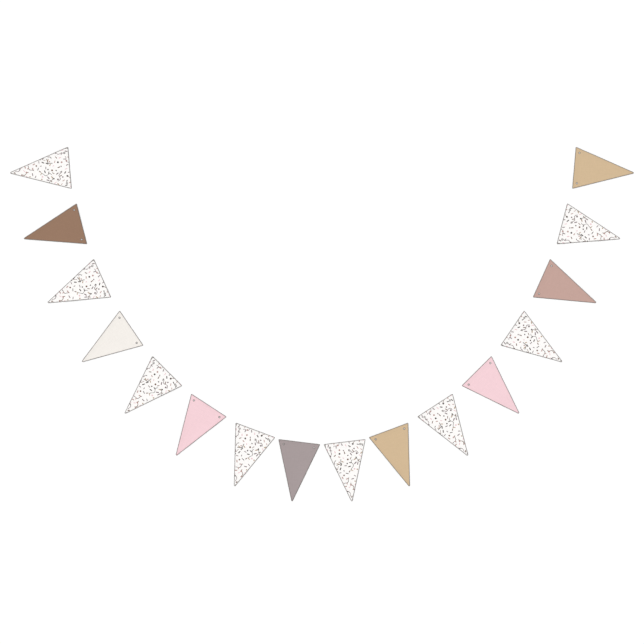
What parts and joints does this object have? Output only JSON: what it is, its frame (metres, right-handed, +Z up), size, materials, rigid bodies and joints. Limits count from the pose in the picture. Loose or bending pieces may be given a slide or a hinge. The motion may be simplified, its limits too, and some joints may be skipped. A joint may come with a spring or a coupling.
{
  "type": "fabric bunting",
  "caption": "Triangular cotton flags with overlocked edges and stitched eyelets, laid out flat in a wide arc; confetti-printed cloth alternates with plain colours.",
  "frame": {"origin": "middle of the whole arc on the surface it lies on", "axes": "+X across the arc from its left end to its right end, +Y from the arc's lowest flags towards its open side, +Z up from the surface, out of the flags' faces"},
  "size_m": [2.9482, 1.6748, 0.0018],
  "materials": {
    "print_cotton": "matte",
    "brown_cotton": "matte",
    "cream_cotton": "matte",
    "pink_cotton": "matte",
    "mauve_cotton": "matte",
    "tan_cotton": "matte",
    "rose_cotton": "matte",
    "overlock_thread": "matte"
  },
  "bodies": {
    "root": {"flag_01_print": "print_cotton", "flag_02_brown": "brown_cotton", "flag_03_print": "print_cotton", "flag_04_cream": "cream_cotton", "flag_05_print": "print_cotton", "flag_06_pink": "pink_cotton", "flag_07_print": "print_cotton", "flag_08_mauve": "mauve_cotton", "flag_09_print": "print_cotton", "flag_10_tan": "tan_cotton", "flag_11_print": "print_cotton", "flag_12_pink": "pink_cotton", "flag_13_print": "print_cotton", "flag_14_rose": "rose_cotton", "flag_15_print": "print_cotton", "flag_16_tan": "tan_cotton"}
  },
  "joints": []
}
